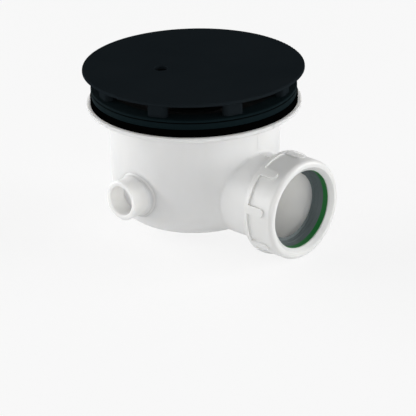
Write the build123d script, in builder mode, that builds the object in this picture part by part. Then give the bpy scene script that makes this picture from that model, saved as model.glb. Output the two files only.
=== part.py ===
from build123d import *
import os
from math import asin, degrees

os.makedirs("parts", exist_ok=True)

# Shower tray trap for a 90 mm waste hole, with a 40 mm side outlet. Millimetres.
# The origin is the centre of the body flange's top face, where the tray is clamped.
# +Z runs up the drain, +X runs out of the outlet and -Y out of the side spigot.

# Clamped stack above the body flange, from the bottom up
lower_gasket_thickness = 2.0
upper_gasket_thickness = 1.8
clamp_flange_thickness = 3.5
cover_ring_thickness = 1.5
inlet_height = 8.3
cover_thickness = 1.9

# Body: flange and bucket
flange_width = 11.1
flange_thickness = 2.3
flange_edge_chamfer = 0.7
bucket_depth = 62.4
bucket_top_radius = 44.7
bucket_draft = 0.7
bucket_corner_radius = 16.7
bucket_wall = 2.4
clamp_thread_depth = 20.0
thread_zone_wall = 3.0
thread_zone_blend = 1.5

# Body: outlet neck
outlet_drop = 41.1
neck_bore_radius = 20.7
neck_wall = 1.5
neck_reach = 68.0
neck_channel_inset = 16.0
neck_lead_length = 22.0
neck_lead_inset = 0.2
neck_end_chamfer = 0.6
neck_root_round = 1.5
stop_rib_inset = 17.5
stop_rib_length = 4.0
stop_rib_width = 1.6
stop_rib_height = 0.8

# Blind side spigot on the bucket's wall
spigot_drop = 39.7
spigot_length = 10.7
spigot_radius = 10.35
spigot_bore_radius = 7.7
spigot_web = 0.7
spigot_rim_chamfer = 0.5
spigot_root_stand = 1.3
spigot_root_length = 4.0
spigot_root_width = 2.2

# Gaskets between the clamp ring, the tray and the flange
gasket_inset = 1.9
gasket_hole_clearance = 1.7

# Clamp ring
clamp_ring_inset = 2.3
clamp_ring_foot_inset = 0.3
clamp_edge_chamfer = 0.35
skirt_length = 21.5
skirt_wall = 2.7
skirt_end_chamfer = 0.6
thread_clearance = 0.35
seat_width = 6.65
seat_depth = 2.5
key_slot_count = 4
key_slot_width = 8.0
key_slot_depth = 1.4
key_slot_height = 3.6

# Dip funnel
funnel_rim_thickness = 1.6
funnel_rim_gap = 2.1
funnel_collar_clearance = 0.15
funnel_collar_wall = 3.0
funnel_collar_length = 11.8
funnel_wall = 1.8
funnel_throat_radius = 19.3
funnel_throat_drop = 4.9
funnel_lip_width = 1.2
funnel_lip_drop = 1.2
throat_slope_width = 1.0
throat_slope_height = 2.0
tube_socket_depth = 6.0
tube_socket_land = 2.0
tube_socket_clearance = 0.05
dip_tube_length = 42.0
grate_rib_width = 2.2
grate_rib_height = 4.0
grate_ring_radius = 9.0
grate_bar_count = 2
grate_rim_width = 1.6
grate_rim_clearance = 0.1

# Seal ring on the funnel's collar
seal_groove_drop = 6.3
seal_groove_slack = 0.1
seal_floor_gap = 0.05
seal_width = 2.4
seal_depth = 1.6
seal_chamfer = 0.6
seal_slide_clearance = 0.05

# Trap cup that hangs on the funnel
cup_collar_gap = 2.5
cup_wall = 2.0
cup_floor_clearance = 2.6
cup_rim_drop = 13.0
cup_corner_radius = 11.0
hanger_count = 3
hanger_width = 13.0
hanger_lug_thickness = 1.5
ledge_drop = 9.2
ledge_thickness = 1.5
ledge_width = 17.0
hanger_gap = 0.5

# Cover and its carrier ring
cover_overhang = 4.0
cover_edge_round = 0.8
cover_foot_chamfer = 0.5
post_count = 8
post_first_angle = 22.5
post_circle_inset = 5.0
post_width = 10.3
post_depth = 5.2
post_corner_round = 2.2
post_pin_radius = 1.55
pin_clearance = 0.05
cover_ring_hole_inset = 0.3
cover_locator_wall = 1.3
cover_locator_gap = 0.3
hook_hole_radius = 3.6
hook_hole_x = -9.0
hook_hole_y = -14.7
hook_hole_chamfer = 0.4

# Outlet nut, thrust ring and pipe seal
nut_overlap = 8.6
nut_length = 17.1
nut_radius = 26.05
nut_collar_radius = 27.1
nut_collar_width = 2.0
nut_front_round = 2.4
nut_mouth_radius = 22.6
nut_lip_radius = 20.5
nut_lip_thickness = 2.7
nut_lip_land = 0.7
nut_running_clearance = 0.35
nut_lug_count = 8
nut_lug_first_angle = 34.0
nut_lug_width = 4.6
nut_lug_length = 12.0
nut_lug_root = 1.0
nut_chamber_lead = 0.4
thrust_ring_thickness = 2.8
thrust_ring_radius = 23.0
ring_slack = 0.2
pipe_radius = 20.0
pipe_clearance = 0.2
seal_lip_radius = 17.2
seal_lip_reach = 1.9
seal_mid_radius = 18.7
seal_lip_bevel = 0.4
seal_heel_length = 0.8
seal_lip_round = 0.3
seal_neck_clearance = 0.1

# Levels and radii that follow from the driving dimensions
lower_gasket_top = lower_gasket_thickness
clamp_bottom = lower_gasket_top + upper_gasket_thickness
clamp_top = clamp_bottom + clamp_flange_thickness
cover_ring_top = clamp_top + cover_ring_thickness
cover_bottom = cover_ring_top + inlet_height
seat_level = clamp_top - seat_depth
bucket_foot_radius = bucket_top_radius - bucket_draft
flange_radius = bucket_top_radius + flange_width
gasket_radius = flange_radius - gasket_inset
clamp_ring_radius = flange_radius - clamp_ring_inset
clamp_ring_foot_radius = clamp_ring_radius - clamp_ring_foot_inset
thread_hole_radius = bucket_top_radius - thread_zone_wall
gasket_hole_radius = thread_hole_radius + gasket_hole_clearance
skirt_radius = thread_hole_radius - thread_clearance
skirt_bore_radius = skirt_radius - skirt_wall
seat_radius = skirt_bore_radius + seat_width
skirt_bottom = clamp_bottom - skirt_length
neck_radius = neck_bore_radius + neck_wall
neck_channel_start = bucket_foot_radius - neck_channel_inset
neck_lead_start = neck_channel_start - neck_lead_length
stop_rib_start = neck_reach - stop_rib_inset
nut_back = neck_reach - nut_overlap
nut_front = nut_back + nut_length
outlet_axis = Axis((0, 0, -outlet_drop), (1, 0, 0))


def arc_block(number, outer_radius, inner_radius, width, bottom, height):
    """Block between two arcs round the drain's axis, at one of the places where the cup hangs."""
    sweep_angle = degrees(2 * asin(width / 2 / outer_radius))
    start = number * 360 / hanger_count - sweep_angle / 2
    with BuildPart() as block:
        with BuildSketch(Plane.XY.offset(bottom)):
            with BuildLine():
                outer = CenterArc((0, 0), outer_radius, start, sweep_angle)
                inner = CenterArc((0, 0), inner_radius, start, sweep_angle)
                Line(outer @ 0, inner @ 0)
                Line(outer @ 1, inner @ 1)
            make_face()
        extrude(amount=height)
    return block.part


def nut_plane(angle, distance):
    """Plane that faces away from the outlet's axis: its own x runs out along the outlet."""
    outward = Vector(0, 1, 0).rotate(Axis.X, angle)
    return Plane(origin=outward * distance + Vector(0, 0, -outlet_drop), x_dir=(1, 0, 0), z_dir=outward)


# Outside of the bucket, which the body is hollowed from and the spigot's root is fitted to
with BuildPart() as bucket_form:
    with BuildSketch(Plane.XZ) as bucket_section:
        with BuildLine():
            Polyline(
                (0, -bucket_depth),
                (bucket_foot_radius, -bucket_depth),
                (bucket_top_radius, -flange_thickness),
                (bucket_top_radius, 0),
                (0, 0),
                close=True,
            )
        make_face()
        fillet(bucket_section.vertices().group_by(Axis.Y)[0].sort_by(Axis.X)[-1], bucket_corner_radius)
    revolve(axis=Axis.Z)

# Trap body: flange, bucket and outlet neck in one moulding
cavity_foot_radius = bucket_foot_radius - bucket_wall
cavity_corner_radius = bucket_corner_radius - bucket_wall
cavity_top_radius = bucket_top_radius - bucket_wall
wall_top = -clamp_thread_depth - thread_zone_blend

with BuildPart() as trap_body:
    add(bucket_form.part)
    # Neck, with a long lead that lets it rise out of the bucket's floor
    with BuildSketch(Plane.XZ):
        with BuildLine():
            Polyline(
                (neck_lead_start, -outlet_drop),
                (neck_lead_start, -bucket_depth + neck_lead_inset),
                (neck_channel_start, -outlet_drop - neck_radius),
                (neck_reach, -outlet_drop - neck_radius),
                (neck_reach, -outlet_drop),
                close=True,
            )
        make_face()
    revolve(axis=outlet_axis)
    fillet(trap_body.edges(Select.NEW), neck_root_round)
    # Flange
    with BuildSketch(Plane.XY.offset(-flange_thickness)):
        Circle(flange_radius)
    extrude(amount=flange_thickness)
    flange_rims = trap_body.edges().filter_by(GeomType.CIRCLE).group_by(Axis.Z)[-2]
    chamfer(flange_rims.sort_by(SortBy.RADIUS)[-1], flange_edge_chamfer)
    # Inside of the bucket, with a thicker wall where the clamp ring screws in
    with BuildSketch(Plane.XZ) as cavity_section:
        with BuildLine():
            Polyline(
                (0, -bucket_depth + bucket_wall),
                (cavity_foot_radius, -bucket_depth + bucket_wall),
                (cavity_top_radius, wall_top),
                (thread_hole_radius, -clamp_thread_depth),
                (thread_hole_radius, 0),
                (0, 0),
                close=True,
            )
        make_face()
        fillet(cavity_section.vertices().group_by(Axis.Y)[0].sort_by(Axis.X)[-1], cavity_corner_radius)
    revolve(axis=Axis.Z, mode=Mode.SUBTRACT)
    # Waterway through the neck
    with BuildSketch(Plane.YZ.offset(neck_channel_start)):
        with Locations((0, -outlet_drop)):
            Circle(neck_bore_radius)
    extrude(amount=neck_reach - neck_channel_start, mode=Mode.SUBTRACT)
    neck_rims = trap_body.edges().filter_by(GeomType.CIRCLE).group_by(Axis.X)[-1]
    chamfer(neck_rims.sort_by(SortBy.RADIUS)[-1], neck_end_chamfer)
    # Stop rib where the neck's thread begins
    with BuildSketch(Plane.XY.offset(-outlet_drop + neck_radius - neck_wall / 2)):
        with Locations((stop_rib_start + stop_rib_length / 2, 0)):
            Rectangle(stop_rib_length, stop_rib_width)
    extrude(amount=neck_wall / 2 + stop_rib_height)

# Side spigot: a short tube on the bucket's wall, which closes it until the spigot is used
spigot_reach = bucket_top_radius + spigot_length
spigot_root_start = bucket_top_radius + spigot_root_stand
spigot_floor_reach = bucket_top_radius + spigot_web
with BuildPart() as side_spigot:
    with BuildSketch(Plane.YZ):
        with BuildLine():
            Polyline(
                (-cavity_foot_radius, -spigot_drop),
                (-cavity_foot_radius, -spigot_drop + spigot_radius + spigot_root_width),
                (-spigot_root_start + spigot_root_length, -spigot_drop + spigot_radius + spigot_root_width),
                (-spigot_root_start, -spigot_drop + spigot_radius),
                (-spigot_reach + spigot_rim_chamfer, -spigot_drop + spigot_radius),
                (-spigot_reach, -spigot_drop + spigot_radius - spigot_rim_chamfer),
                (-spigot_reach, -spigot_drop + spigot_bore_radius + spigot_rim_chamfer),
                (-spigot_reach + spigot_rim_chamfer, -spigot_drop + spigot_bore_radius),
                (-spigot_floor_reach, -spigot_drop + spigot_bore_radius),
                (-spigot_floor_reach, -spigot_drop),
                close=True,
            )
        make_face()
    revolve(axis=Axis((0, 0, -spigot_drop), (0, -1, 0)))
    add(bucket_form.part, mode=Mode.SUBTRACT)

# Gaskets
with BuildPart() as lower_gasket:
    with BuildSketch():
        Circle(gasket_radius)
        Circle(gasket_hole_radius, mode=Mode.SUBTRACT)
    extrude(amount=lower_gasket_thickness)

with BuildPart() as upper_gasket:
    with BuildSketch(Plane.XY.offset(lower_gasket_top)):
        Circle(gasket_radius)
        Circle(gasket_hole_radius, mode=Mode.SUBTRACT)
    extrude(amount=upper_gasket_thickness)

# Clamp ring: flange, seat for the funnel and skirt that screws into the body
with BuildPart() as clamp_ring:
    with BuildSketch(Plane.XZ):
        with BuildLine():
            Polyline(
                (skirt_bore_radius, skirt_bottom),
                (skirt_radius - skirt_end_chamfer, skirt_bottom),
                (skirt_radius, skirt_bottom + skirt_end_chamfer),
                (skirt_radius, clamp_bottom),
                (clamp_ring_foot_radius, clamp_bottom),
                (clamp_ring_radius, clamp_top - clamp_edge_chamfer),
                (clamp_ring_radius - clamp_edge_chamfer, clamp_top),
                (seat_radius, clamp_top),
                (seat_radius, seat_level),
                (skirt_bore_radius, seat_level),
                close=True,
            )
        make_face()
    revolve(axis=Axis.Z)
    # Slots for the mounting key, under the funnel's rim
    with BuildSketch(Plane.XY.offset(seat_level)):
        with PolarLocations(skirt_bore_radius, key_slot_count, 45):
            Rectangle(2 * key_slot_depth, key_slot_width)
    extrude(amount=-key_slot_height, mode=Mode.SUBTRACT)

# Dip funnel: rim, sealing collar, dished throat and a socket for the dip tube
collar_radius = skirt_bore_radius - funnel_collar_clearance
collar_inner_radius = collar_radius - funnel_collar_wall
collar_bottom = seat_level - funnel_collar_length
rim_top = seat_level + funnel_rim_thickness
rim_radius = seat_radius - funnel_rim_gap
dip_tube_inner_radius = funnel_throat_radius - funnel_wall
throat_level = seat_level - funnel_throat_drop
dish_edge = seat_level - funnel_lip_drop
throat_foot = throat_level - throat_slope_height
socket_top = throat_foot - tube_socket_land
socket_bottom = socket_top - tube_socket_depth
socket_inner_radius = funnel_throat_radius + tube_socket_clearance
socket_radius = socket_inner_radius + funnel_wall
dip_tube_bottom = socket_top - dip_tube_length
seal_groove_floor = skirt_bore_radius - seal_slide_clearance - seal_depth
seal_level = seat_level - seal_groove_drop
seal_groove_width = seal_width + 2 * seal_groove_slack
ledge_top = seat_level - ledge_drop + ledge_thickness

cup_radius = collar_inner_radius - cup_collar_gap
ledge_inner_radius = cup_radius + hanger_gap
ledge_root_radius = collar_inner_radius + funnel_collar_wall / 4
ledge_bottom = ledge_top - ledge_thickness
ledges = [
    arc_block(number, ledge_root_radius, ledge_inner_radius, ledge_width, ledge_bottom, ledge_thickness)
    for number in range(hanger_count)
]

with BuildPart() as dip_funnel:
    with BuildSketch(Plane.XZ):
        with BuildLine():
            Polyline(
                (rim_radius, seat_level),
                (rim_radius, rim_top),
                (collar_inner_radius + funnel_lip_width, rim_top),
                (collar_inner_radius, dish_edge),
                (funnel_throat_radius + throat_slope_width, throat_level),
                (dip_tube_inner_radius, throat_foot),
                (dip_tube_inner_radius, socket_top),
                (socket_inner_radius, socket_top),
                (socket_inner_radius, socket_bottom),
                (socket_radius, socket_bottom),
                (socket_radius, throat_level - funnel_wall),
                (collar_inner_radius, dish_edge - funnel_wall),
                (collar_inner_radius, collar_bottom),
                (collar_radius, collar_bottom),
                (collar_radius, seal_level - seal_groove_width / 2),
                (seal_groove_floor, seal_level - seal_groove_width / 2),
                (seal_groove_floor, seal_level + seal_groove_width / 2),
                (collar_radius, seal_level + seal_groove_width / 2),
                (collar_radius, seat_level),
                close=True,
            )
        make_face()
    revolve(axis=Axis.Z)
    # Bayonet ledges that the cup's lugs hang on
    add(ledges)

# Dip tube, pushed up into the funnel's socket
with BuildPart() as dip_tube:
    with BuildSketch(Plane.XY.offset(dip_tube_bottom)):
        Circle(funnel_throat_radius)
        Circle(dip_tube_inner_radius, mode=Mode.SUBTRACT)
    extrude(amount=dip_tube_length)

# Grate that sits in the throat, which is also the grip that the insert is lifted by
grate_foot_radius = dip_tube_inner_radius - grate_rim_clearance
grate_top_radius = funnel_throat_radius + throat_slope_width - grate_rim_clearance
grate_hole_radius = grate_foot_radius - grate_rim_width
grate_bar_length = 2 * grate_foot_radius - grate_rim_width

with BuildPart() as throat_grate:
    # Rim with a slanted edge that centres it on the throat's slope
    with BuildSketch(Plane.XZ):
        with BuildLine():
            Polyline(
                (grate_hole_radius, throat_foot),
                (grate_foot_radius, throat_foot),
                (grate_top_radius, throat_level),
                (grate_hole_radius, throat_level),
                close=True,
            )
        make_face()
    revolve(axis=Axis.Z)
    # Bars and the ring that joins them
    with BuildSketch(Plane.XY.offset(throat_foot)):
        Circle(grate_ring_radius)
        Circle(grate_ring_radius - grate_rib_width, mode=Mode.SUBTRACT)
        for number in range(grate_bar_count):
            Rectangle(grate_bar_length, grate_rib_width, rotation=number * 180 / grate_bar_count)
    extrude(amount=grate_rib_height)

# Seal ring in the collar's groove
with BuildPart() as funnel_seal:
    with BuildSketch(Plane.XZ) as seal_section:
        with Locations((seal_groove_floor + (seal_floor_gap + seal_depth) / 2, seal_level)):
            Rectangle(seal_depth - seal_floor_gap, seal_width)
        chamfer(seal_section.vertices(), seal_chamfer)
    revolve(axis=Axis.Z)

# Trap cup with its three hangers
cup_bottom = -bucket_depth + bucket_wall + cup_floor_clearance
cup_rim = -cup_rim_drop
hanger_top = ledge_top + hanger_lug_thickness
hangers = [
    arc_block(number, cup_radius, cup_radius - cup_wall, hanger_width, cup_rim, hanger_top - cup_rim)
    for number in range(hanger_count)
]
hanger_lugs = [
    arc_block(
        number,
        collar_inner_radius - hanger_gap,
        cup_radius - cup_wall / 2,
        hanger_width,
        ledge_top,
        hanger_lug_thickness,
    )
    for number in range(hanger_count)
]
with BuildPart() as trap_cup:
    with BuildSketch(Plane.XZ) as cup_section:
        with BuildLine():
            Polyline(
                (0, cup_bottom),
                (cup_radius, cup_bottom),
                (cup_radius, cup_rim),
                (0, cup_rim),
                close=True,
            )
        make_face()
        fillet(cup_section.vertices().group_by(Axis.Y)[0].sort_by(Axis.X)[-1], cup_corner_radius)
    revolve(axis=Axis.Z)
    with BuildSketch(Plane.XZ) as cup_hollow:
        with BuildLine():
            Polyline(
                (0, cup_bottom + cup_wall),
                (cup_radius - cup_wall, cup_bottom + cup_wall),
                (cup_radius - cup_wall, cup_rim),
                (0, cup_rim),
                close=True,
            )
        make_face()
        fillet(cup_hollow.vertices().group_by(Axis.Y)[0].sort_by(Axis.X)[-1], cup_corner_radius - cup_wall)
    revolve(axis=Axis.Z, mode=Mode.SUBTRACT)
    add(hangers)
    add(hanger_lugs)

# Cover ring, which stands on the clamp ring and drops into its seat
cover_ring_radius = clamp_ring_radius
cover_ring_hole_radius = seat_radius - cover_ring_hole_inset
post_circle_radius = cover_ring_radius - post_circle_inset
locator_radius = seat_radius - cover_locator_gap
locator_bottom = seat_level + cover_locator_gap
locator_inner_radius = locator_radius - cover_locator_wall

with BuildPart() as cover_ring:
    with BuildSketch(Plane.XZ):
        with BuildLine():
            Polyline(
                (locator_inner_radius, locator_bottom),
                (locator_radius, locator_bottom),
                (locator_radius, clamp_top),
                (cover_ring_radius - clamp_edge_chamfer, clamp_top),
                (cover_ring_radius, clamp_top + clamp_edge_chamfer),
                (cover_ring_radius, cover_ring_top - clamp_edge_chamfer),
                (cover_ring_radius - clamp_edge_chamfer, cover_ring_top),
                (cover_ring_hole_radius, cover_ring_top),
                (locator_inner_radius, clamp_top),
                close=True,
            )
        make_face()
    revolve(axis=Axis.Z)
    with BuildSketch(Plane.XY.offset(clamp_top)):
        with PolarLocations(post_circle_radius, post_count, post_first_angle):
            Circle(post_pin_radius + pin_clearance)
    extrude(amount=cover_ring_thickness, mode=Mode.SUBTRACT)

# Cover: disc, posts and the pins that press into the ring
cover_radius = cover_ring_radius + cover_overhang
with BuildPart() as cover:
    with BuildSketch(Plane.XY.offset(cover_bottom)):
        Circle(cover_radius)
        with Locations((hook_hole_x, hook_hole_y)):
            Circle(hook_hole_radius, mode=Mode.SUBTRACT)
    extrude(amount=cover_thickness)
    top_rims = cover.edges().filter_by(GeomType.CIRCLE).group_by(Axis.Z)[-1].sort_by(SortBy.RADIUS)
    foot_rims = cover.edges().filter_by(GeomType.CIRCLE).group_by(Axis.Z)[0].sort_by(SortBy.RADIUS)
    fillet(top_rims[-1], cover_edge_round)
    chamfer(top_rims[0], hook_hole_chamfer)
    chamfer(foot_rims[-1], cover_foot_chamfer)
    with BuildSketch(Plane.XY.offset(cover_ring_top)):
        with PolarLocations(post_circle_radius, post_count, post_first_angle):
            RectangleRounded(post_depth, post_width, post_corner_round)
    extrude(amount=inlet_height)
    with BuildSketch(Plane.XY.offset(clamp_top)):
        with PolarLocations(post_circle_radius, post_count, post_first_angle):
            Circle(post_pin_radius)
    extrude(amount=cover_ring_thickness)

# Outlet nut with its collar and grip lugs
nut_bore_radius = neck_radius + nut_running_clearance
nut_lip_back = nut_front - nut_lip_thickness
thrust_ring_back = nut_lip_back - thrust_ring_thickness
nut_chamber_start = neck_reach - nut_chamber_lead
nut_chamber_radius = thrust_ring_radius + ring_slack

with BuildPart() as nut_lugs:
    for number in range(nut_lug_count):
        lug_angle = nut_lug_first_angle + number * 360 / nut_lug_count
        with BuildSketch(nut_plane(lug_angle, nut_radius - nut_lug_root)):
            with Locations((nut_back + (nut_lug_length - nut_lug_width / 2) / 2, 0)):
                Rectangle(nut_lug_length - nut_lug_width / 2, nut_lug_width)
            with Locations((nut_back + nut_lug_length - nut_lug_width / 2, 0)):
                Circle(nut_lug_width / 2)
        extrude(amount=nut_collar_radius - nut_radius + 2 * nut_lug_root)
    with BuildSketch(Plane.YZ.offset(nut_back)):
        with Locations((0, -outlet_drop)):
            Circle(nut_collar_radius)
            Circle(nut_radius - nut_lug_root / 2, mode=Mode.SUBTRACT)
    extrude(amount=nut_lug_length, mode=Mode.INTERSECT)

with BuildPart() as outlet_nut:
    with BuildSketch(Plane.XZ) as nut_section:
        with BuildLine():
            Polyline(
                (nut_back, -outlet_drop - nut_bore_radius),
                (nut_back, -outlet_drop - nut_collar_radius),
                (nut_back + nut_collar_width, -outlet_drop - nut_collar_radius),
                (nut_back + nut_collar_width, -outlet_drop - nut_radius),
                (nut_front, -outlet_drop - nut_radius),
                (nut_front, -outlet_drop - nut_mouth_radius),
                (nut_lip_back + nut_lip_land, -outlet_drop - nut_lip_radius),
                (nut_lip_back, -outlet_drop - nut_lip_radius),
                (nut_lip_back, -outlet_drop - nut_chamber_radius),
                (nut_chamber_start, -outlet_drop - nut_chamber_radius),
                (nut_chamber_start, -outlet_drop - nut_bore_radius),
                close=True,
            )
        make_face()
        fillet(nut_section.vertices().group_by(Axis.X)[-1].sort_by(Axis.Y)[0], nut_front_round)
    revolve(axis=outlet_axis)
    add(nut_lugs.part)

# Thrust ring between the nut's lip and the seal
with BuildPart() as thrust_ring:
    with BuildSketch(Plane.YZ.offset(thrust_ring_back)):
        with Locations((0, -outlet_drop)):
            Circle(thrust_ring_radius)
            Circle(pipe_radius + pipe_clearance, mode=Mode.SUBTRACT)
    extrude(amount=thrust_ring_thickness)

# Pipe seal: a flange against the neck's end and a lip that reaches into the bore
seal_heel_radius = neck_bore_radius - seal_neck_clearance
seal_lip_end = neck_reach - seal_lip_reach
with BuildPart() as pipe_seal:
    with BuildSketch(Plane.XZ):
        with BuildLine():
            Polyline(
                (thrust_ring_back, -outlet_drop - pipe_radius - pipe_clearance),
                (thrust_ring_back, -outlet_drop - thrust_ring_radius),
                (neck_reach, -outlet_drop - thrust_ring_radius),
                (neck_reach, -outlet_drop - seal_heel_radius),
                (seal_lip_end - seal_heel_length, -outlet_drop - seal_heel_radius),
                (seal_lip_end - seal_lip_round, -outlet_drop - seal_lip_radius - seal_lip_round),
                (seal_lip_end, -outlet_drop - seal_lip_radius),
                (seal_lip_end + seal_lip_bevel, -outlet_drop - seal_mid_radius),
                close=True,
            )
        make_face()
    revolve(axis=outlet_axis)

# Names and files
trap_body.part.label = "trap_body"
side_spigot.part.label = "side_spigot"
lower_gasket.part.label = "lower_gasket"
upper_gasket.part.label = "upper_gasket"
clamp_ring.part.label = "clamp_ring"
dip_funnel.part.label = "dip_funnel"
dip_tube.part.label = "dip_tube"
throat_grate.part.label = "throat_grate"
funnel_seal.part.label = "funnel_seal"
trap_cup.part.label = "trap_cup"
cover_ring.part.label = "cover_ring"
cover.part.label = "cover"
outlet_nut.part.label = "outlet_nut"
thrust_ring.part.label = "thrust_ring"
pipe_seal.part.label = "pipe_seal"

export_step(trap_body.part, "parts/trap_body.step")
export_step(side_spigot.part, "parts/side_spigot.step")
export_step(lower_gasket.part, "parts/lower_gasket.step")
export_step(upper_gasket.part, "parts/upper_gasket.step")
export_step(clamp_ring.part, "parts/clamp_ring.step")
export_step(dip_funnel.part, "parts/dip_funnel.step")
export_step(dip_tube.part, "parts/dip_tube.step")
export_step(throat_grate.part, "parts/throat_grate.step")
export_step(funnel_seal.part, "parts/funnel_seal.step")
export_step(trap_cup.part, "parts/trap_cup.step")
export_step(cover_ring.part, "parts/cover_ring.step")
export_step(cover.part, "parts/cover.step")
export_step(outlet_nut.part, "parts/outlet_nut.step")
export_step(thrust_ring.part, "parts/thrust_ring.step")
export_step(pipe_seal.part, "parts/pipe_seal.step")
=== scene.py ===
"""A shower tray trap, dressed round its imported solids.

The solids give the main shapes and sizes. This file gives every piece its finish, adds the
screw threads and the small marks that the moulds leave, and sets the trap on a pale floor in
soft light. Sizes in the classes are millimetres, and MM turns them into metres.
"""

import logging
import math
from dataclasses import dataclass, field
from enum import Enum
from typing import ClassVar, Iterable, Sequence

import bpy
from mathutils import Matrix, Vector
from mathutils.bvhtree import BVHTree


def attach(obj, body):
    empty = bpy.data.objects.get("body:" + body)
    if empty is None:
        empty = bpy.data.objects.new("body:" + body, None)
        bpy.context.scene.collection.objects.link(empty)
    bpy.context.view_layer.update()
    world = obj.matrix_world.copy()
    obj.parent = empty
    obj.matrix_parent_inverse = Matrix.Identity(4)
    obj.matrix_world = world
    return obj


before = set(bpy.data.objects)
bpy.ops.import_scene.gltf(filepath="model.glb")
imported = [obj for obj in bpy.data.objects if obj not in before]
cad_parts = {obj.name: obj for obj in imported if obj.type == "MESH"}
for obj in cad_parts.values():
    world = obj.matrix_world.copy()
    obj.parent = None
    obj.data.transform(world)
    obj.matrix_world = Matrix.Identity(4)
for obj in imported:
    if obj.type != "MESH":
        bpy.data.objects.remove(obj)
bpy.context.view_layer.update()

MM = 0.001
LOG = logging.getLogger("trap")

# Middle part of a noise's values, which most of its area has
NOISE_RANGE = (0.3, 0.7)
# Angle in degrees from which an edge between two faces is drawn sharp
SHARP_EDGE = 40.0
# Distance from the drain's axis or top that is outside of every piece
OUTSIDE = 90.0

EAST, WEST, NORTH = Vector((1, 0, 0)), Vector((-1, 0, 0)), Vector((0, 1, 0))
UP, DOWN = Vector((0, 0, 1)), Vector((0, 0, -1))

Colour = tuple[float, float, float]


# Finishes


class MaterialRecipe:
    """Node tree of one material, with the few nodes that the finishes share."""

    def __init__(self, name: str) -> None:
        """Start a material.

        Args:
            name: name of the material.
        """
        self.material = bpy.data.materials.new(name)
        self.material.use_nodes = True
        self.nodes = self.material.node_tree.nodes
        self.links = self.material.node_tree.links
        self.shader = self.nodes["Principled BSDF"]
        self.place = self.nodes.new("ShaderNodeTexCoord").outputs["Object"]
        self.last_normal: bpy.types.NodeSocket | None = None

    def set(self, socket: str, value: float | Sequence[float]) -> None:
        """Set one of the shader's own sockets to a value."""
        self.shader.inputs[socket].default_value = value

    def noise(
        self, size_mm: float, detail: float, stretch: Sequence[float] = (1, 1, 1)
    ) -> bpy.types.NodeSocket:
        """Add a noise texture in the piece's own space.

        Args:
            size_mm: size of one patch of the noise.
            detail: number of finer layers on top.
            stretch: how much the patches are shortened along X, Y and Z.

        Returns:
            The noise's value, about 0.2 to 0.8.
        """
        mapping = self.nodes.new("ShaderNodeMapping")
        mapping.inputs["Scale"].default_value = stretch
        texture = self.nodes.new("ShaderNodeTexNoise")
        texture.inputs["Scale"].default_value = 1 / (size_mm * MM)
        texture.inputs["Detail"].default_value = detail
        self.links.new(self.place, mapping.inputs["Vector"])
        self.links.new(mapping.outputs["Vector"], texture.inputs["Vector"])
        return texture.outputs["Fac"]

    def spread(self, source: bpy.types.NodeSocket, low: float, high: float) -> bpy.types.NodeSocket:
        """Map a noise's usual range to two values.

        Args:
            source: noise value.
            low: result where the noise is low.
            high: result where the noise is high.

        Returns:
            The mapped value.
        """
        node = self.nodes.new("ShaderNodeMapRange")
        ends = {"From Min": NOISE_RANGE[0], "From Max": NOISE_RANGE[1], "To Min": low, "To Max": high}
        for socket, value in ends.items():
            node.inputs[socket].default_value = value
        self.links.new(source, node.inputs["Value"])
        return node.outputs["Result"]

    def tint(self, source: bpy.types.NodeSocket, first: Colour, second: Colour) -> None:
        """Colour the surface between two colours.

        Args:
            source: value from 0 to 1 that chooses between them.
            first: colour at 0.
            second: colour at 1.
        """
        mix = self.nodes.new("ShaderNodeMix")
        mix.data_type = "RGBA"
        mix.inputs["A"].default_value = (*first, 1)
        mix.inputs["B"].default_value = (*second, 1)
        self.links.new(source, mix.inputs["Factor"])
        self.links.new(mix.outputs["Result"], self.shader.inputs["Base Color"])

    def roughen(self, source: bpy.types.NodeSocket) -> None:
        """Let a value drive the roughness."""
        self.links.new(source, self.shader.inputs["Roughness"])

    def emboss(self, height: bpy.types.NodeSocket, depth_mm: float) -> None:
        """Add one layer of relief on top of those before it.

        Args:
            height: value that gives the relief.
            depth_mm: depth between the value's 0 and 1.
        """
        bump = self.nodes.new("ShaderNodeBump")
        bump.inputs["Distance"].default_value = depth_mm * MM
        self.links.new(height, bump.inputs["Height"])
        if self.last_normal is not None:
            self.links.new(self.last_normal, bump.inputs["Normal"])
        self.last_normal = bump.outputs["Normal"]
        self.links.new(self.last_normal, self.shader.inputs["Normal"])


@dataclass(frozen=True)
class MouldedPlastic:
    """Moulded plastic: faint flow streaks, a satin skin that varies a little, and fine grain."""

    name: str
    colour: Colour
    streak_colour: Colour
    roughness: tuple[float, float]
    streak_mm: float = 22.0
    streak_stretch: tuple[float, float, float] = (1, 1, 0.45)
    satin_mm: float = 5.0
    wave_mm: float = 14.0
    wave_depth_mm: float = 0.05
    grain_mm: float = 0.35
    grain_depth_mm: float = 0.012
    translucency: float = 0.0
    glow_depth_mm: float = 2.0
    glow_reach: Colour = (1.0, 0.97, 0.92)
    reflection: float = 0.5

    def material(self) -> bpy.types.Material:
        """Build the material.

        Returns:
            The new material.
        """
        recipe = MaterialRecipe(self.name)
        streaks = recipe.noise(self.streak_mm, detail=4, stretch=self.streak_stretch)
        recipe.tint(recipe.spread(streaks, 0, 1), self.colour, self.streak_colour)
        recipe.roughen(recipe.spread(recipe.noise(self.satin_mm, detail=5), *self.roughness))
        recipe.emboss(recipe.noise(self.wave_mm, detail=1), self.wave_depth_mm)
        recipe.emboss(recipe.noise(self.grain_mm, detail=2), self.grain_depth_mm)
        recipe.set("Specular IOR Level", self.reflection)
        if self.translucency:
            recipe.set("Subsurface Weight", self.translucency)
            recipe.set("Subsurface Scale", self.glow_depth_mm * MM)
            recipe.set("Subsurface Radius", self.glow_reach)
        return recipe.material


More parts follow.
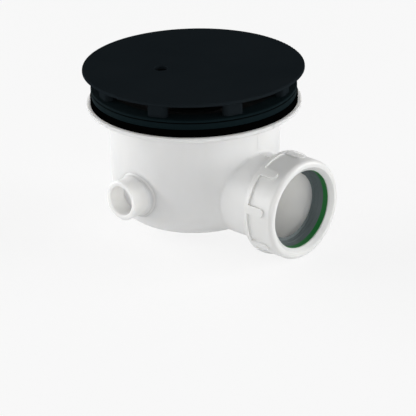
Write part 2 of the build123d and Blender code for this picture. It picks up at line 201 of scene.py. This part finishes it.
@dataclass(frozen=True)
class Rubber:
    """Moulded rubber: dull, with a bloom in patches and a fine matt grain."""

    name: str
    colour: Colour
    bloom_colour: Colour
    roughness: tuple[float, float]
    bloom_mm: float = 9.0
    dull_mm: float = 2.5
    grain_mm: float = 0.4
    grain_depth_mm: float = 0.02
    reflection: float = 0.12

    def material(self) -> bpy.types.Material:
        """Build the material.

        Returns:
            The new material.
        """
        recipe = MaterialRecipe(self.name)
        bloom = recipe.noise(self.bloom_mm, detail=6)
        recipe.tint(recipe.spread(bloom, 0, 1), self.colour, self.bloom_colour)
        recipe.roughen(recipe.spread(recipe.noise(self.dull_mm, detail=4), *self.roughness))
        recipe.emboss(recipe.noise(self.grain_mm, detail=3), self.grain_depth_mm)
        recipe.set("Specular IOR Level", self.reflection)
        return recipe.material


@dataclass(frozen=True)
class MattPaint:
    """Matt paint on the cover: an even coat with fine orange peel and a little dust."""

    name: str
    colour: Colour
    dust_colour: Colour
    roughness: tuple[float, float]
    dust_mm: float = 30.0
    matt_mm: float = 7.0
    peel_mm: float = 1.1
    peel_depth_mm: float = 0.015
    grain_mm: float = 0.25
    grain_depth_mm: float = 0.008
    reflection: float = 0.0

    def material(self) -> bpy.types.Material:
        """Build the material.

        Returns:
            The new material.
        """
        recipe = MaterialRecipe(self.name)
        dust = recipe.noise(self.dust_mm, detail=8)
        recipe.tint(recipe.spread(dust, 0, 1), self.colour, self.dust_colour)
        recipe.roughen(recipe.spread(recipe.noise(self.matt_mm, detail=6), *self.roughness))
        recipe.emboss(recipe.noise(self.peel_mm, detail=2), self.peel_depth_mm)
        recipe.emboss(recipe.noise(self.grain_mm, detail=2), self.grain_depth_mm)
        recipe.set("Specular IOR Level", self.reflection)
        return recipe.material


class Finish(Enum):
    """Finishes of the trap, named after their slots in the record.

    The fillet's finish fills the body's slot: a darker copy of its plastic, without glow, whose darker
    colour is painted shade.
    """

    BODY = MouldedPlastic(
        "body_plastic", (0.815, 0.812, 0.804), (0.765, 0.767, 0.759), (0.36, 0.5),
        translucency=1.0, glow_depth_mm=4.5,
    )
    # Painted shade: the body's plastic made darker, for the thin fillet at the spigot's root
    BODY_FILLET_PAINTED_SHADE = MouldedPlastic(
        "body_plastic_fillet_painted_shade", (0.6, 0.6, 0.595), (0.570, 0.570, 0.565), (0.36, 0.5)
    )
    NUT = MouldedPlastic(
        "nut_plastic", (0.76, 0.76, 0.75), (0.72, 0.725, 0.715), (0.3, 0.42),
        translucency=0.7, glow_depth_mm=2.4,
    )
    CUP = MouldedPlastic(
        "cup_plastic", (0.78, 0.78, 0.77), (0.73, 0.73, 0.72), (0.36, 0.48),
        translucency=0.6, glow_depth_mm=2.5,
    )
    FUNNEL = MouldedPlastic(
        "funnel_plastic", (0.003, 0.0036, 0.004), (0.0045, 0.005, 0.0055), (0.6, 0.72), reflection=0.05
    )
    RING = MouldedPlastic(
        "ring_plastic", (0.0035, 0.0082, 0.0098), (0.0042, 0.0094, 0.0112), (0.7, 0.85), reflection=0.02
    )
    COVER = MattPaint("cover_finish", (0.009, 0.0125, 0.015), (0.0105, 0.0142, 0.0168), (0.8, 0.92))
    GASKET = Rubber(
        "gasket_rubber", (0.0006, 0.0006, 0.0006), (0.001, 0.001, 0.001), (0.8, 0.95), reflection=0.0
    )
    SEAL = Rubber("seal_rubber", (0.08, 0.1, 0.103), (0.092, 0.114, 0.118), (0.45, 0.6), reflection=0.35)
    THRUST_RING = MouldedPlastic(
        "thrust_ring_plastic", (0.003, 0.13, 0.02), (0.004, 0.155, 0.026), (0.35, 0.45)
    )

    @property
    def slot(self) -> str:
        """Name of the record's material slot."""
        return Finish.BODY.value.name if self is Finish.BODY_FILLET_PAINTED_SHADE else self.value.name


MATERIALS: dict[Finish, bpy.types.Material] = {}


def dress(piece: bpy.types.Object, finish: Finish) -> None:
    """Give a piece its finish.

    Args:
        piece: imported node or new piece.
        finish: the finish, made once and shared.
    """
    if finish not in MATERIALS:
        MATERIALS[finish] = finish.value.material()
    mesh = piece.data
    if not mesh.materials:
        mesh.materials.append(MATERIALS[finish])
    for index in range(len(mesh.materials)):
        mesh.materials[index] = MATERIALS[finish]


# Turned and screwed shapes


class Spindle(Enum):
    """Axis that a turned piece or a thread is made round: centre, two directions across, and along."""

    DRAIN = (Vector((0, 0, 0)), EAST, NORTH, UP)
    OUTLET = (Vector((0, 0, -41.1)), NORTH, UP, EAST)

    def at(self, radius: float, angle: float, along: float) -> Vector:
        """Find a point by its place round the axis.

        Args:
            radius: distance from the axis, in millimetres.
            angle: turn about the axis, in radians, by the right-hand rule.
            along: distance along the axis, in millimetres.

        Returns:
            The point, in metres.
        """
        centre, first, second, axis = self.value
        outward = first * math.cos(angle) + second * math.sin(angle)
        return (centre + outward * radius + axis * along) * MM


def swept_faces(
    sections: int, corners: int, closed: bool = False, turned_over: bool = False
) -> list[list[int]]:
    """Join sections, whose corners are listed one section after the other, into a skin.

    Args:
        sections: number of sections.
        corners: number of corners of each.
        closed: whether the last section joins the first.
        turned_over: whether the faces run the other way round.

    Returns:
        The faces between the sections, as indices of the corners.
    """
    faces: list[list[int]] = []
    for step in range(sections if closed else sections - 1):
        near, far = step * corners, (step + 1) % sections * corners
        for corner in range(corners):
            following = (corner + 1) % corners
            face = [near + corner, near + following, far + following, far + corner]
            faces.append([face[0], face[3], face[2], face[1]] if turned_over else face)
    return faces


def piece_from(
    name: str, points: Iterable[Vector], faces: Iterable[Sequence[int]], body: str, finish: Finish
) -> bpy.types.Object:
    """Make a smooth piece from points and faces, let it ride and give it its finish.

    Args:
        name: name of the piece.
        points: corners, in metres.
        faces: faces, as indices of the corners.
        body: body that it moves with.
        finish: its finish.

    Returns:
        The new object.
    """
    mesh = bpy.data.meshes.new(name)
    mesh.from_pydata([tuple(point) for point in points], [], [tuple(face) for face in faces])
    mesh.validate()
    mesh.polygons.foreach_set("use_smooth", [True] * len(mesh.polygons))
    mesh.set_sharp_from_angle(angle=math.radians(SHARP_EDGE))
    piece = bpy.data.objects.new(name, mesh)
    bpy.context.scene.collection.objects.link(piece)
    dress(piece, finish)
    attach(piece, body)
    LOG.info("%s: %d faces, on %s", name, len(mesh.polygons), body)
    return piece


@dataclass(frozen=True)
class ThreadForm:
    """What the two threads of a screwed joint have in common."""

    pitch: float
    start: float
    root_width: float
    crest_width: float
    ridge: float = 0.29


CLAMP_FORM = ThreadForm(pitch=4.0, start=-18.0, root_width=1.7, crest_width=0.8)
OUTLET_FORM = ThreadForm(pitch=2.309, start=60.0, root_width=1.0, crest_width=0.45)


@dataclass
class ScrewThread:
    """One right-hand thread: a ridge with sloping flanks that runs out at both ends.

    A thread that is inside a hole has its ridge towards the axis. One of each pair starts half a
    pitch further on, so that the two ridges pass between each other.
    """

    name: str
    body: str
    finish: Finish
    spindle: Spindle
    form: ThreadForm
    root_radius: float
    turns: float
    inside: bool = False
    half_pitch_on: bool = False
    least_rise: float = 0.02
    sink: float = 0.05
    steps_per_turn: int = 96
    run_out: float = 0.12

    def build(self) -> bpy.types.Object:
        """Build the ridge as one closed strip.

        Returns:
            The thread's object.
        """
        form, count = self.form, round(self.turns * self.steps_per_turn)
        outward = -1 if self.inside else 1
        first = form.start + (form.pitch / 2 if self.half_pitch_on else 0)
        root = self.root_radius - outward * self.sink
        points: list[Vector] = []
        for step in range(count + 1):
            turned = step / self.steps_per_turn
            rise = min(1.0, turned / self.run_out, (self.turns - turned) / self.run_out)
            height = form.ridge * max(self.least_rise, math.sin(max(0.0, rise) * math.pi / 2))
            crest = self.root_radius + outward * height
            middle = first + turned * form.pitch
            for radius, across in (
                (root, -form.root_width / 2),
                (crest, -form.crest_width / 2),
                (crest, form.crest_width / 2),
                (root, form.root_width / 2),
            ):
                points.append(self.spindle.at(radius, turned * 2 * math.pi, middle + across))
        end = [4 * count, 4 * count + 1, 4 * count + 2, 4 * count + 3]
        faces = [[3, 2, 1, 0], *swept_faces(count + 1, 4), end]
        if self.inside != (self.spindle is Spindle.DRAIN):
            faces = [list(reversed(face)) for face in faces]
        return piece_from(self.name, points, faces, self.body, self.finish)


@dataclass
class TurnedRing:
    """Closed ring turned round an axis from a small section."""

    name: str
    body: str
    finish: Finish
    spindle: Spindle
    section: Sequence[tuple[float, float]]
    offset: tuple[float, float, float] = (0, 0, 0)
    steps: int = 144

    def build(self) -> bpy.types.Object:
        """Turn the section, given as pairs of radius and place along the axis, anticlockwise.

        Returns:
            The ring's object.
        """
        points = [
            self.spindle.at(radius, step * 2 * math.pi / self.steps, along) + Vector(self.offset) * MM
            for step in range(self.steps)
            for radius, along in self.section
        ]
        faces = swept_faces(self.steps, len(self.section), closed=True, turned_over=True)
        return piece_from(self.name, points, faces, self.body, self.finish)


# Marks of the moulds


class Surface:
    """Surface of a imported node, to seat small marks on."""

    def __init__(self, node: str) -> None:
        """Read the node's shape.

        Args:
            node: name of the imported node.
        """
        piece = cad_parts[node]
        corners = [piece.matrix_world @ vertex.co for vertex in piece.data.vertices]
        self.tree = BVHTree.FromPolygons(corners, [tuple(face.vertices) for face in piece.data.polygons])

    def meet(self, start: Vector, direction: Vector) -> tuple[Vector, Vector]:
        """Find where a straight line first meets the surface.

        Args:
            start: start of the line, in millimetres.
            direction: way that it runs.

        Returns:
            The point that it meets, in millimetres, and the outward direction there.
        """
        point, normal, _, _ = self.tree.ray_cast(start * MM, direction)
        if point is None:
            raise ValueError(f"nothing at {start[:]} along {direction[:]}")
        return point / MM, normal if normal.dot(direction) < 0 else -normal


@dataclass
class RootFillet:
    """Soft fillet where the spigot's flared root runs into the bucket's wall.

    The flare runs from its start to its end, each a radius and a distance from the drain's axis.
    """

    name: str
    body: str
    finish: Finish
    wall: Surface
    drop: float = 39.7
    flare_start: tuple[float, float] = (10.35, 46.0)
    flare_end: tuple[float, float] = (12.55, 42.0)
    up_flare: float = 1.4
    along_wall: float = 0.5
    sink: float = 0.25
    curve_points: int = 7
    steps: int = 120

    def build(self) -> bpy.types.Object:
        """Sweep the fillet's section round the spigot.

        Returns:
            The fillet's object.
        """
        points: list[Vector] = []
        centre = DOWN * self.drop
        for step in range(self.steps):
            turn = step * 2 * math.pi / self.steps
            outward = Vector((math.cos(turn), 0, math.sin(turn)))
            start = centre + outward * self.flare_start[0] - NORTH * self.flare_start[1]
            end = centre + outward * self.flare_end[0] - NORTH * self.flare_end[1]
            slope = (end - start).normalized()
            seam, _ = self.wall.meet(start, slope)
            upper = seam - slope * self.up_flare
            away = seam + outward * self.along_wall
            lower, wall_out = self.wall.meet(Vector((away.x, -OUTSIDE, away.z)), NORTH)
            flare_out = (outward - slope * outward.dot(slope)).normalized()
            for number in range(self.curve_points):
                share = number / (self.curve_points - 1)
                points.append(upper * (1 - share) ** 2 + seam * 2 * share * (1 - share) + lower * share**2)
            points += [
                lower - wall_out * self.sink,
                seam - (wall_out + flare_out) * self.sink,
                upper - flare_out * self.sink,
            ]
        faces = swept_faces(self.steps, len(points) // self.steps, closed=True)
        return piece_from(self.name, (point * MM for point in points), faces, self.body, self.finish)


@dataclass
class PartingLine:
    """Fine ridge where the halves of a mould met, in the plane through the drain and the outlet."""

    name: str
    body: str
    finish: Finish
    surface: Surface
    lines: Sequence[tuple[Vector, Vector]]
    width: float = 0.24
    height: float = 0.022
    sink: float = 0.05

    def build(self) -> bpy.types.Object:
        """Lay the ridge over the points where the lines meet the surface.

        Returns:
            The ridge's object.
        """
        across = NORTH * (self.width / 2)
        points: list[Vector] = []
        for start, direction in self.lines:
            seat, outward = self.surface.meet(start, direction)
            outward = Vector((outward.x, 0, outward.z)).normalized()
            low, high = seat - outward * self.sink, seat + outward * self.height
            points += [low - across, high - across / 2, high + across / 2, low + across]
        count = len(self.lines)
        end = [4 * count - 1, 4 * count - 2, 4 * count - 3, 4 * count - 4]
        faces = [[0, 1, 2, 3], *swept_faces(count, 4, turned_over=True), end]
        return piece_from(self.name, (point * MM for point in points), faces, self.body, self.finish)


@dataclass
class MouldRing:
    """Raised ring where a gate or an ejector pin met a flat face, on the side that looks down."""

    name: str
    body: str
    finish: Finish
    surface: Surface
    below: Vector
    radius: float
    width: float = 0.5
    flank: float = 0.1
    height: float = 0.14
    sink: float = 0.05
    steps: int = 48

    def build(self) -> bpy.types.Object:
        """Turn the ring at the point of the surface straight above the given one.

        Returns:
            The ring's object.
        """
        seat, _ = self.surface.meet(self.below, UP)
        section = [
            (self.radius - self.width, self.sink),
            (self.radius - (self.width - self.flank), -self.height),
            (self.radius - self.flank, -self.height),
            (self.radius, self.sink),
        ]
        place = tuple(seat)
        return TurnedRing(
            self.name, self.body, self.finish, Spindle.DRAIN, section, place, self.steps
        ).build()


def steps_between(first: float, last: float, step: float) -> list[float]:
    """Divide a stretch evenly.

    Args:
        first: where it starts.
        last: where it ends.
        step: longest step.

    Returns:
        Places from the first to the last, both included.
    """
    count = max(1, math.ceil(abs(last - first) / step))
    return [first + (last - first) * number / count for number in range(count + 1)]


# Sub-assemblies


class SubAssembly:
    """Pieces of the trap that are dressed, and added to, together."""

    finishes: ClassVar[dict[str, Finish]] = {}

    def dress(self) -> None:
        """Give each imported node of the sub-assembly its finish."""
        for name, finish in self.finishes.items():
            dress(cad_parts[name], finish)
            LOG.info("%s: dressed in %s", name, finish.slot)

    def build(self) -> None:
        """Add nothing, unless the sub-assembly has small pieces of its own."""


@dataclass
class TrapBody(SubAssembly):
    """White moulding: flange, bucket and outlet neck, with the blind spigot on its wall."""

    finishes: ClassVar[dict[str, Finish]] = {"trap_body": Finish.BODY, "side_spigot": Finish.BODY}

    body: str = "root"
    clamp_hole_radius: float = 41.7
    clamp_turns: float = 4.2
    neck_radius: float = 22.2
    neck_turns: float = 2.9
    gate_mark_x: float = -3.0
    gate_mark_radius: float = 2.4
    flange_bottom: float = -2.5
    corner_x: float = -27.3
    corner_z: float = -45.7
    corner_reach: float = 40.0
    neck_top: float = -18.9
    over_neck_top: float = 1.8
    neck_line_start: float = 46.4
    neck_line_from: float = -8.0
    nut_back: float = 59.4
    upright_step: float = 0.3
    level_step: float = 0.4
    corner_step: float = 3.0
    tick_ends: tuple[float, float] = (-0.3, -2.1)
    tick_step: float = 0.2
    tick_width: float = 0.5
    tick_height: float = 0.14

    def build(self) -> None:
        """Add the threads of the bucket and of the neck, and the mould's marks."""
        surface = Surface("trap_body")
        ScrewThread(
            "bucket_thread", self.body, Finish.BODY, Spindle.DRAIN, CLAMP_FORM,
            self.clamp_hole_radius, self.clamp_turns, inside=True,
        ).build()
        ScrewThread(
            "neck_thread", self.body, Finish.BODY, Spindle.OUTLET, OUTLET_FORM,
            self.neck_radius, self.neck_turns,
        ).build()
        # The fillet's darker colour is painted shade that blends it into the bucket's wall
        RootFillet("spigot_fillet", self.body, Finish.BODY_FILLET_PAINTED_SHADE, surface).build()
        self.parting_lines(surface)
        below = Vector((self.gate_mark_x, 0, -OUTSIDE))
        MouldRing("gate_mark", self.body, Finish.BODY, surface, below, self.gate_mark_radius).build()

    def parting_lines(self, surface: Surface) -> None:
        """Lay the ridges that the two halves of the body's mould left, outside only.

        Args:
            surface: surface of the moulding.
        """
        levels = steps_between(self.flange_bottom, self.corner_z, self.upright_step)
        lines = [(Vector((-OUTSIDE, 0, level)), EAST) for level in levels]
        corner = Vector((self.corner_x, 0, self.corner_z))
        for turn in steps_between(0, 90, self.corner_step):
            outward = Vector((-math.cos(math.radians(turn)), 0, -math.sin(math.radians(turn))))
            lines.append((corner + outward * self.corner_reach, -outward))
        places = steps_between(self.corner_x, self.nut_back, self.level_step)
        lines += [(Vector((x, 0, -OUTSIDE)), UP) for x in places]
        PartingLine("parting_line_back", self.body, Finish.BODY, surface, lines).build()

        levels = steps_between(*self.tick_ends, self.tick_step)
        for name, start, inward in (
            ("flange_tick_front", OUTSIDE, WEST), ("flange_tick_back", -OUTSIDE, EAST)
        ):
            lines = [(Vector((start, 0, level)), inward) for level in levels]
            PartingLine(
                name, self.body, Finish.BODY, surface, lines, self.tick_width, self.tick_height
            ).build()

        levels = steps_between(self.flange_bottom, self.neck_top + self.over_neck_top, self.upright_step)
        lines = [(Vector((OUTSIDE, 0, level)), WEST) for level in levels]
        places = steps_between(self.neck_line_start, self.nut_back, self.level_step)
        lines += [(Vector((x, 0, self.neck_line_from)), DOWN) for x in places]
        PartingLine("parting_line_front", self.body, Finish.BODY, surface, lines).build()


@dataclass
class ClampStack(SubAssembly):
    """Clamp ring and the two gaskets that grip the tray."""

    finishes: ClassVar[dict[str, Finish]] = {
        "clamp_ring": Finish.RING, "lower_gasket": Finish.GASKET, "upper_gasket": Finish.GASKET,
    }

    body: str = "clamp_ring"
    skirt_radius: float = 41.35
    skirt_turns: float = 3.0

    def build(self) -> None:
        """Add the skirt's thread, half a pitch off the bucket's."""
        ScrewThread(
            "skirt_thread", self.body, Finish.RING, Spindle.DRAIN, CLAMP_FORM,
            self.skirt_radius, self.skirt_turns, half_pitch_on=True,
        ).build()


@dataclass
class Insert(SubAssembly):
    """Lift-out funnel with its grate, dip tube and seal, and the cup that hangs on it."""

    finishes: ClassVar[dict[str, Finish]] = {
        "dip_funnel": Finish.FUNNEL, "dip_tube": Finish.FUNNEL, "throat_grate": Finish.FUNNEL,
        "funnel_seal": Finish.GASKET, "trap_cup": Finish.CUP,
    }


@dataclass
class Cover(SubAssembly):
    """Cover on its posts, and the ring that it stands on."""

    finishes: ClassVar[dict[str, Finish]] = {"cover": Finish.COVER, "cover_ring": Finish.RING}

    body: str = "cover"
    ring_radius: float = 53.5
    ring_bottom: float = 7.3
    # Black bead in the joint under the ring's rim: a painted shadow line between the cover ring and the
    # clamp ring
    bead_depth: float = 0.35
    bead_inset: float = 0.04
    bead_half_height: float = 0.28
    ejector_marks: int = 4
    ejector_circle: float = 30.0
    ejector_radius: float = 2.5
    under_cover: float = 12.0

    def build(self) -> None:
        """Add a black bead under the ring's rim, a painted shadow line at its joint with the clamp ring,
        and the ejector marks under the cover.
        """
        # Painted shadow: a thin black ring where the cover ring meets the clamp ring
        section = [
            (self.ring_radius - self.bead_depth, self.ring_bottom),
            (self.ring_radius - self.bead_inset, self.ring_bottom - self.bead_half_height),
            (self.ring_radius - self.bead_inset, self.ring_bottom + self.bead_half_height),
        ]
        TurnedRing("painted_shadow_bead", self.body, Finish.GASKET, Spindle.DRAIN, section).build()
        surface = Surface("cover")
        for number in range(self.ejector_marks):
            turn = math.radians(360 / self.ejector_marks * number)
            outward = Vector((math.cos(turn), math.sin(turn), 0))
            below = outward * self.ejector_circle + UP * self.under_cover
            name = f"ejector_mark_{number + 1}"
            MouldRing(name, self.body, Finish.COVER, surface, below, self.ejector_radius).build()


@dataclass
class OutletCoupling(SubAssembly):
    """Nut, slip ring and seal that hold the waste pipe."""

    finishes: ClassVar[dict[str, Finish]] = {
        "outlet_nut": Finish.NUT, "thrust_ring": Finish.THRUST_RING, "pipe_seal": Finish.SEAL,
    }

    nut_body: str = "outlet_nut"
    seal_body: str = "outlet_seals"
    nut_bore_radius: float = 22.55
    nut_turns: float = 2.6
    seal_back: float = 66.5
    seal_front: float = 71.0
    seal_back_radius: float = 18.7
    seal_front_radius: float = 20.2
    bead_radius: float = 0.22
    bead_corners: int = 8
    bead_places: tuple[float, ...] = (67.0, 68.4)

    def build(self) -> None:
        """Add the beads in the seal's mouth, and the nut's thread, half a pitch off the neck's."""
        slope = (self.seal_front_radius - self.seal_back_radius) / (self.seal_front - self.seal_back)
        corners = [math.radians(360 / self.bead_corners * number) for number in range(self.bead_corners)]
        for number, place in enumerate(self.bead_places, 1):
            middle = self.seal_back_radius + slope * (place - self.seal_back)
            section = [
                (middle + self.bead_radius * math.cos(corner), place + self.bead_radius * math.sin(corner))
                for corner in corners
            ]
            TurnedRing(
                f"seal_bead_{number}", self.seal_body, Finish.SEAL, Spindle.OUTLET, section
            ).build()
        ScrewThread(
            "nut_thread", self.nut_body, Finish.NUT, Spindle.OUTLET, OUTLET_FORM,
            self.nut_bore_radius, self.nut_turns, inside=True, half_pitch_on=True,
        ).build()


# Studio


@dataclass
class StudioCamera:
    """Camera at the photograph's angle, fitted to the edges of the cover, the nut and the bucket."""

    azimuth: float = 44.232
    elevation: float = 23.85
    roll: float = -1.28
    focal_pixels: float = 2133.1
    image_width: int = 416
    sensor_width: float = 36.0
    distance: float = 1100.0
    aim: Vector = field(default_factory=lambda: Vector((0, 0, 19)))
    shift_right: float = 5.924
    shift_up: float = -74.19
    sight_m: float = 20.0

    def axes(self) -> tuple[Vector, Vector, Vector]:
        """Work out the level camera axes.

        Returns:
            Right, up and back, as unit vectors.
        """
        azimuth, elevation = math.radians(self.azimuth), math.radians(self.elevation)
        level = Vector((math.sin(azimuth), -math.cos(azimuth), 0))
        back = level * math.cos(elevation) + Vector((0, 0, math.sin(elevation)))
        right = Vector((math.cos(azimuth), math.sin(azimuth), 0))
        return right, back.cross(right), back

    def build(self) -> None:
        """Place the camera and make it the scene's."""
        right, up, back = self.axes()
        place = self.aim + back * self.distance + right * self.shift_right + up * self.shift_up
        turn = Matrix.Rotation(math.radians(self.roll), 3, back)
        camera = bpy.data.objects.new("camera", bpy.data.cameras.new("camera"))
        camera.data.lens = self.focal_pixels * self.sensor_width / self.image_width
        camera.data.sensor_width = self.sensor_width
        camera.data.clip_end = self.sight_m
        rotation = Matrix((turn @ right, turn @ up, back)).transposed()
        camera.matrix_world = Matrix.Translation(place * MM) @ rotation.to_4x4()
        bpy.context.scene.collection.objects.link(camera)
        bpy.context.scene.camera = camera


@dataclass(frozen=True)
class SoftLamp:
    """One far, broad lamp whose light is as strong over the whole floor.

    It hangs beside, before and above the trap by shares of the camera's right, of the level way
    to the camera, and of straight up.
    """

    name: str
    beside: float
    before: float
    above: float
    strength: float
    breadth: float = 40.0

    def build(self, right: Vector, front: Vector) -> None:
        """Hang the lamp and turn it towards the trap.

        Args:
            right: the camera's right.
            front: level way from the trap to the camera.
        """
        lamp = bpy.data.lights.new(self.name, "SUN")
        lamp.energy = self.strength
        lamp.angle = math.radians(self.breadth)
        holder = bpy.data.objects.new(self.name, lamp)
        direction = (right * self.beside + front * self.before + UP * self.above).normalized()
        holder.location = direction
        holder.rotation_euler = direction.to_track_quat("Z", "Y").to_euler()
        bpy.context.scene.collection.objects.link(holder)


@dataclass
class Studio:
    """Pale floor, soft lamps and a white surround.

    The floor shows mostly its own glow where the eye sees it, and the rest of it takes the shadow.
    """

    floor_level: float = -68.25
    floor_size_m: float = 12.0
    floor_colour: Colour = (0.95, 0.95, 0.95)
    floor_glow: float = 0.82
    sky: float = 0.25
    lamps: tuple[SoftLamp, ...] = (
        SoftLamp("key_lamp", beside=-1.0, before=-0.6, above=0.2, strength=2.1),
        SoftLamp("left_lamp", beside=-1.0, before=0.0, above=0.2, strength=1.2),
        SoftLamp("front_lamp", beside=0.0, before=1.0, above=0.15, strength=1.3),
        SoftLamp("right_lamp", beside=1.0, before=0.0, above=0.2, strength=2.5),
    )

    def seen_by_eye(self, nodes: bpy.types.Nodes, links: bpy.types.NodeLinks) -> bpy.types.NodeSocket:
        """Tell what the eye sees, also in a gloss or through glass, from what only lights the trap.

        Args:
            nodes: nodes of the floor's or the surround's tree.
            links: links of the same tree.

        Returns:
            A value of 1 where it is seen, and 0 elsewhere.
        """
        path = nodes.new("ShaderNodeLightPath")
        seen = nodes.new("ShaderNodeMath")
        seen.operation = "MAXIMUM"
        clear = nodes.new("ShaderNodeMath")
        clear.operation = "MAXIMUM"
        links.new(path.outputs["Is Camera Ray"], seen.inputs[0])
        links.new(path.outputs["Is Glossy Ray"], clear.inputs[0])
        links.new(path.outputs["Is Transmission Ray"], clear.inputs[1])
        links.new(clear.outputs[0], seen.inputs[1])
        return seen.outputs[0]

    def floor(self) -> None:
        """Lay the floor."""
        half, level = self.floor_size_m / 2, self.floor_level * MM
        corners = [(-half, -half, level), (half, -half, level), (half, half, level), (-half, half, level)]
        mesh = bpy.data.meshes.new("floor")
        mesh.from_pydata(corners, [], [(0, 1, 2, 3)])
        floor = bpy.data.objects.new("floor", mesh)
        material = bpy.data.materials.new("floor")
        material.use_nodes = True
        nodes, links = material.node_tree.nodes, material.node_tree.links
        diffuse = nodes["Principled BSDF"]
        diffuse.inputs["Base Color"].default_value = (*self.floor_colour, 1)
        diffuse.inputs["Roughness"].default_value = 1.0
        diffuse.inputs["Specular IOR Level"].default_value = 0.0
        glow = nodes.new("ShaderNodeEmission")
        mix = nodes.new("ShaderNodeMixShader")
        share = nodes.new("ShaderNodeMath")
        share.operation = "MULTIPLY"
        share.inputs[1].default_value = self.floor_glow
        links.new(self.seen_by_eye(nodes, links), share.inputs[0])
        links.new(share.outputs[0], mix.inputs["Fac"])
        links.new(diffuse.outputs["BSDF"], mix.inputs[1])
        links.new(glow.outputs["Emission"], mix.inputs[2])
        links.new(mix.outputs["Shader"], nodes["Material Output"].inputs["Surface"])
        mesh.materials.append(material)
        bpy.context.scene.collection.objects.link(floor)

    def surround(self) -> None:
        """Light the scene from all round, and show white where nothing else is seen."""
        world = bpy.data.worlds.new("surround")
        bpy.context.scene.world = world
        world.use_nodes = True
        nodes, links = world.node_tree.nodes, world.node_tree.links
        light = nodes["Background"]
        light.inputs["Color"].default_value = (1, 1, 1, 1)
        strength = nodes.new("ShaderNodeMapRange")
        strength.inputs["To Min"].default_value = self.sky
        strength.inputs["To Max"].default_value = 1.0
        links.new(self.seen_by_eye(nodes, links), strength.inputs["Value"])
        links.new(strength.outputs["Result"], light.inputs["Strength"])

    def build(self, camera: StudioCamera) -> None:
        """Build the floor and the surround, and hang the lamps by the camera's own left and right.

        Args:
            camera: camera that the lamps are placed by.
        """
        self.floor()
        self.surround()
        right, _, back = camera.axes()
        front = Vector((back.x, back.y, 0)).normalized()
        for lamp in self.lamps:
            lamp.build(right, front)
        bpy.context.scene.view_settings.view_transform = "Standard"


def main() -> None:
    """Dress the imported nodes, add the scene's own pieces and set up the studio."""
    logging.basicConfig(level=logging.INFO, format="%(message)s")
    for assembly in (TrapBody(), ClampStack(), Insert(), Cover(), OutletCoupling()):
        assembly.dress()
        assembly.build()
    camera = StudioCamera()
    camera.build()
    Studio().build(camera)


if __name__ == "__main__":
    main()
